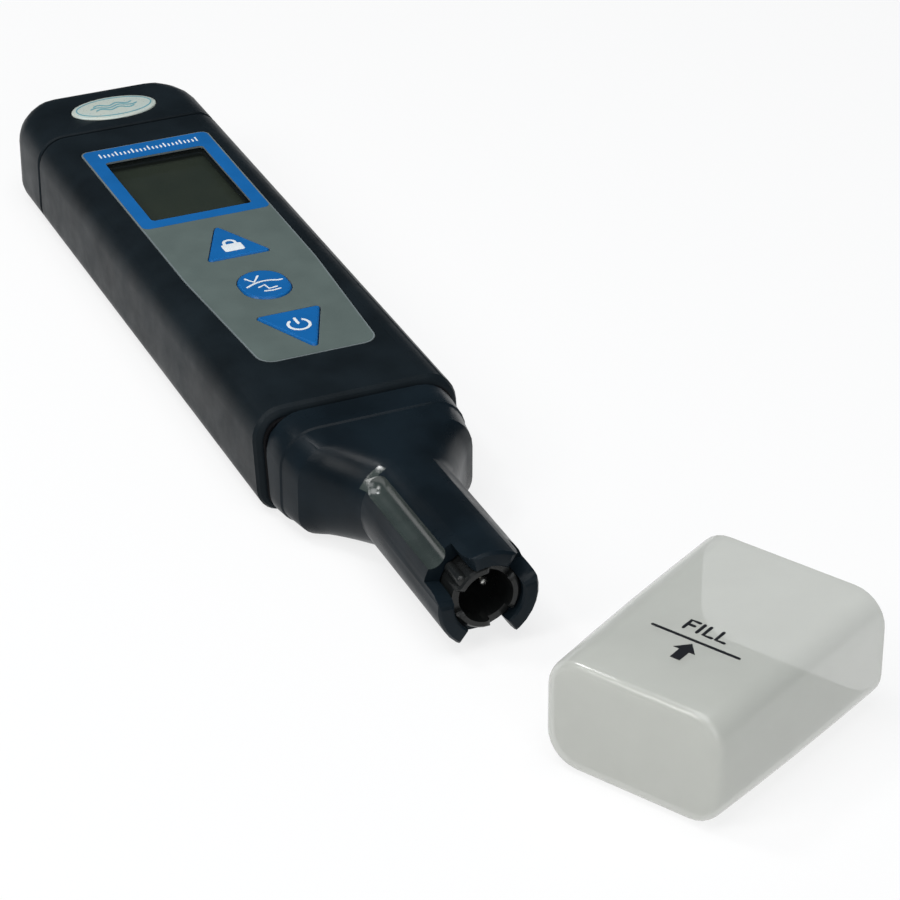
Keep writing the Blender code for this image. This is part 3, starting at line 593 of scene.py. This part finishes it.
def print_badge():
    """Three plain waves on the oval badge, inside a thin aqua line."""
    aqua = printed_film("badge_aqua", (0.13, 0.36, 0.42), 0.3)
    low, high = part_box("badge")
    middle = (low + high) / 2 / MM
    half = (high - low) / 2 / MM
    turns = [2 * math.pi * step / 64 for step in range(64)]
    ring = [[(middle.x + (half.x - inset) * math.cos(a), middle.y + (half.y - inset) * math.sin(a))
             for a in turns] for inset in BADGE_RING_INSETS]
    print_on("badge_ring_print", ring, aqua, "badge", "battery_end")
    steps = 36
    for index, rise in enumerate(BADGE_WAVE_ROWS):
        reach = BADGE_WAVE_REACH - 0.9 * abs(rise)
        wave = [(middle.x + reach * (2 * step / steps - 1),
                 middle.y + rise + BADGE_WAVE_HEIGHT * math.sin(4 * math.pi * step / steps))
                for step in range(steps + 1)]
        piece = print_on(f"badge_wave_{index + 1}", [stroke(wave, 0.36)], aqua, "badge", "battery_end")


# ---------------------------------------------------------------- clear cap

def cap_place():
    """The cap's directions, along to its mouth and across, and the middle of its closed end on the floor."""
    joint = next(item for item in frame["joints"] if item["child"] == "storage_cap")
    along = -Vector(joint["axis"]).normalized()
    across = Vector((0.0, 0.0, 1.0)).cross(along)
    points = [vert.co for vert in frame["nodes"]["clear_cap"].data.vertices]
    start = min(point.dot(along) for point in points)
    sides = [point.dot(across) for point in points]
    middle = (min(sides) + max(sides)) / 2
    return along, across, along * start + across * middle


def print_cap():
    """Fill line, arrow and the word beside it on the cap's upper face, read from the closed end."""
    ink = printed_film("black_ink", (0.010, 0.010, 0.012), 0.4)
    along, across, origin = cap_place()
    turn = Matrix((-across, along, Vector((0.0, 0.0, 1.0)))).transposed().to_4x4()
    place = Matrix.Translation(origin) @ turn
    line = [(FILL_SHIFT - FILL_LINE_HALF_LENGTH, FILL_LINE_AT),
            (FILL_SHIFT + FILL_LINE_HALF_LENGTH, FILL_LINE_AT)]
    arrow = [(-0.85, -5.5), (0.85, -5.5), (0.85, -3.0), (1.9, -3.0), (0.0, -0.9), (-1.9, -3.0), (-0.85, -3.0)]
    marks = {"fill_line": stroke(line, 0.52),
             "fill_arrow": moved(arrow, (FILL_SHIFT, FILL_LINE_AT))}
    for name, outline in marks.items():
        print_on(name, [outline], ink, "clear_cap", "storage_cap", place)
    for letter, strokes, start in fill_letters():
        corner = (FILL_SHIFT + FILL_WORD_START + start, FILL_LINE_AT + FILL_WORD_RISE)
        for index, points in enumerate(strokes):
            outline = stroke(moved(points, corner), LETTER_STROKE, 3)
            piece = print_on(f"fill_word_{letter}_{index + 1}", [outline], ink, "clear_cap", "storage_cap",
                             place, thickness=PRINT_THICKNESS + PRINT_STEP * index)


def fill_letters():
    """Plain letters of the word: a name, its strokes, and how far along the word it starts."""
    high, wide = LETTER_HEIGHT, LETTER_WIDTH
    return (("f", [[(0, 0), (0, high), (wide, high)], [(0, high / 2), (0.8 * wide, high / 2)]], 0.0),
            ("i", [[(0, 0), (0, high)]], 2.35),
            ("l", [[(0, high), (0, 0), (wide, 0)]], 3.45),
            ("l2", [[(0, high), (0, 0), (wide, 0)]], 5.65))


# ---------------------------------------------------------------- everything else

def finish_flute_with_painted_highlight(module):
    """Give the channel along the neck a glossier finish, and a paler base colour that is a painted highlight.
    """
    # The channel's base colour is several times paler than the module's: a painted highlight, beside its real
    # lower roughness and higher specular.
    module.data.materials.append(moulded_plastic("flute_gloss_and_painted_highlight", (0.034, 0.044, 0.040), 0.2, specular=0.9))
    centre_x = FLUTE_AWAY * math.cos(FLUTE_ANGLE)
    centre_z = NECK_AXIS_Z + FLUTE_AWAY * math.sin(FLUTE_ANGLE)
    for face in module.data.polygons:
        middle = face.center / MM
        off_axis = math.hypot(middle.x - centre_x, middle.z - centre_z)
        if off_axis < FLUTE_RADIUS and FLUTE_NEAR < middle.y < FLUTE_FAR:
            face.material_index = 1


def paint_parts():
    """Finishes of the CAD parts, and finished shells in place of the parts that show their facets."""
    body = moulded_plastic("body_plastic", PLASTIC_BLACK, 0.38, specular=0.06)
    module = moulded_plastic("module_plastic", MODULE_BLACK, 0.3, specular=0.10)
    sleeve = moulded_plastic("sleeve_plastic", (0.010, 0.011, 0.011), 0.28, specular=0.3)
    seal = rubber("seal_rubber", (0.0015, 0.0015, 0.002))
    strip = rubber("strip_rubber", (0.09, 0.09, 0.10))
    white = moulded_plastic("white_plastic", (0.62, 0.63, 0.60), 0.45)
    dark = moulded_plastic("holder_plastic", (0.018, 0.019, 0.018), 0.5)
    nickel = metal("nickel", (0.64, 0.61, 0.55), 0.28)
    steel = metal("cell_steel", (0.6, 0.6, 0.6), 0.26)
    pins = metal("pin_steel", (0.5, 0.5, 0.48), 0.24)
    chip = moulded_plastic("chip_plastic", (0.012, 0.012, 0.013), 0.55)
    switch = metal("switch_metal", (0.45, 0.45, 0.42), 0.34)
    finishes = {"battery_cap_seal": seal, "probe_seal": seal,
                "rubber_strip_near": strip, "rubber_strip_far": strip,
                "display_holder": dark, "display_glass": display_glass(), "display_lens": clear_window(),
                "battery_tray": white, "probe_socket": white, "probe_plug": white,
                "circuit_board": circuit_board_look(), "processor_chip": chip,
                "hold_switch": switch, "cal_switch": switch, "power_switch": switch,
                "board_spring_minus": nickel, "board_spring_plus": nickel,
                "tray_contact_minus": nickel, "tray_contact_plus": nickel, "temperature_bead": nickel,
                "electrode_pin_left": pins, "electrode_pin_right": pins,
                "sensor_core": sleeve}
    for index in range(4):
        finishes[f"button_cell_{index + 1}"] = steel
    for node, look in finishes.items():
        paint(node, look)
    fine_shell("housing", body, edge=0.15)
    fine_shell("battery_cap", body, edge=0.1)
    # The neck's channel gets a glossier finish and a paler base colour, which is a painted highlight.
    finish_flute_with_painted_highlight(fine_shell("probe_module", module, edge=0.12))
    fine_shell("sensor_sleeve", sleeve, edge=0.1)
    fine_shell("badge", badge_metal(), edge=0.0, turn=50.0)
    fine_shell("clear_cap", clear_plastic(), edge=0.0, turn=40.0)


def make_floor():
    """A wide pale floor just under the lowest piece."""
    mesh = bmesh.new()
    corners = [mesh.verts.new((x * FLOOR_HALF_SIZE, y * FLOOR_HALF_SIZE, FLOOR_HEIGHT))
               for x, y in ((-1, -1), (1, -1), (1, 1), (-1, 1))]
    mesh.faces.new(corners)
    data = bpy.data.meshes.new("studio_floor")
    mesh.to_mesh(data)
    mesh.free()
    data.materials.append(floor_look())
    add_object("studio_floor", data)


def make_light(name, place, size, power, color=(1.0, 1.0, 1.0)):
    """A square soft box at `place`, in metres, turned to the object."""
    lamp = bpy.data.lights.new(name, "AREA")
    lamp.shape = "SQUARE"
    lamp.size = size
    lamp.energy = power
    lamp.color = color
    holder = add_object(name, lamp)
    holder.location = place
    holder.rotation_mode = "QUATERNION"
    holder.rotation_quaternion = (Vector(LIGHT_TARGET) - Vector(place)).to_track_quat("-Z", "Y")


def make_world():
    """Dim cool surroundings, so that upward faces stay dark."""
    world = bpy.data.worlds.new("studio")
    world.use_nodes = True
    background = world.node_tree.nodes["Background"]
    background.inputs["Color"].default_value = (*WORLD_COLOR, 1.0)
    background.inputs["Strength"].default_value = WORLD_STRENGTH
    bpy.context.scene.world = world


def make_lights():
    """Soft boxes overhead, at the left and in front, and a small one for highlights."""
    make_light("overhead_softbox", (-0.1, -0.25, 1.1), 0.9, 8.0)
    make_light("left_softbox", (-0.8, -0.2, 0.7), 0.4, 3.2, (1.0, 0.99, 0.97))
    make_light("front_softbox", (-0.1, -1.0, 0.45), 0.6, 2.6)
    make_light("small_softbox", (-0.25, 0.15, 0.55), 0.12, 0.8)


def make_camera():
    """The camera at the photograph's viewing angle."""
    azimuth = math.radians(CAMERA_AZIMUTH)
    elevation = math.radians(CAMERA_ELEVATION)
    back = Vector((math.sin(azimuth) * math.cos(elevation), -math.cos(azimuth) * math.cos(elevation),
                   math.sin(elevation)))
    data = bpy.data.cameras.new("camera")
    data.lens = CAMERA_LENS
    data.sensor_width = CAMERA_SENSOR
    data.clip_start = 0.01
    data.clip_end = 50.0
    camera = add_object("camera", data)
    camera.location = Vector(CAMERA_TARGET) + back * CAMERA_DISTANCE
    camera.rotation_mode = "QUATERNION"
    camera.rotation_quaternion = (-back).to_track_quat("-Z", "Y")
    bpy.context.scene.camera = camera
    bpy.context.scene.view_settings.view_transform = "Standard"


paint_parts()
print_label()
print_keys()
print_badge()
print_cap()
make_floor()
make_world()
make_lights()
make_camera()
